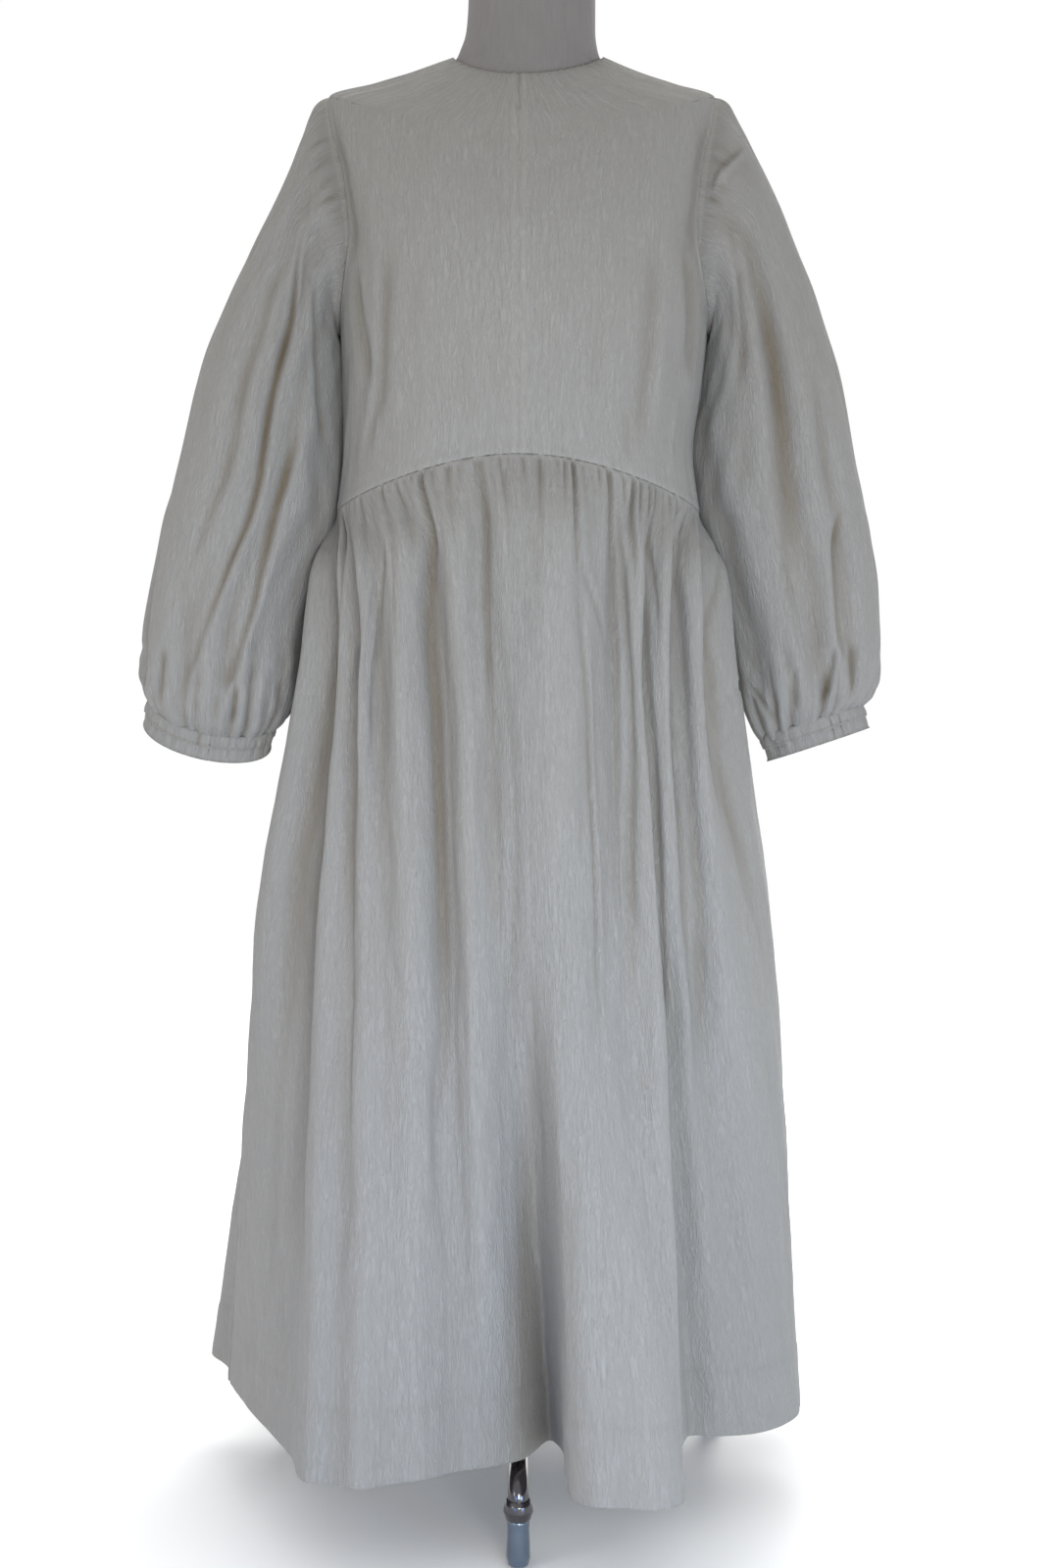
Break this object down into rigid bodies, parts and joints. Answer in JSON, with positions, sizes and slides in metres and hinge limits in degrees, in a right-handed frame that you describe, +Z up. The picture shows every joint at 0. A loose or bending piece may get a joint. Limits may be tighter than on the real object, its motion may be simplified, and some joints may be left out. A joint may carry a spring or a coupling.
{
  "type": "midi dress on dress form",
  "caption": "Long-sleeved cream midi dress with balloon sleeves and a full gathered skirt, worn by a limbless dress form on a tripod stand.",
  "frame": {"origin": "on the floor under the pole, at the middle of the part's bottom", "axes": "+Z up; the dress faces -Y; the wearer's right is at -X"},
  "size_m": [0.6771, 0.6204, 1.376],
  "materials": {
    "cream_crepe": "crinkled matt",
    "form_linen": "plain woven matt",
    "black_enamel": "gloss",
    "grey_foot": "gloss"
  },
  "bodies": {
    "root": {"bodice_front_left": "cream_crepe", "bodice_front_right": "cream_crepe", "bodice_back": "cream_crepe", "sleeve_left": "cream_crepe", "sleeve_right": "cream_crepe", "cuff_left": "cream_crepe", "cuff_right": "cream_crepe", "skirt_front": "cream_crepe", "skirt_back": "cream_crepe", "form_torso": "form_linen", "stand_pole": "black_enamel", "stand_hub": "black_enamel", "stand_leg_front": "black_enamel", "stand_leg_left": "black_enamel", "stand_leg_right": "black_enamel", "stand_collar_front": "black_enamel", "stand_collar_left": "black_enamel", "stand_collar_right": "black_enamel", "stand_foot_front": "grey_foot", "stand_foot_left": "grey_foot", "stand_foot_right": "grey_foot"}
  },
  "joints": []
}
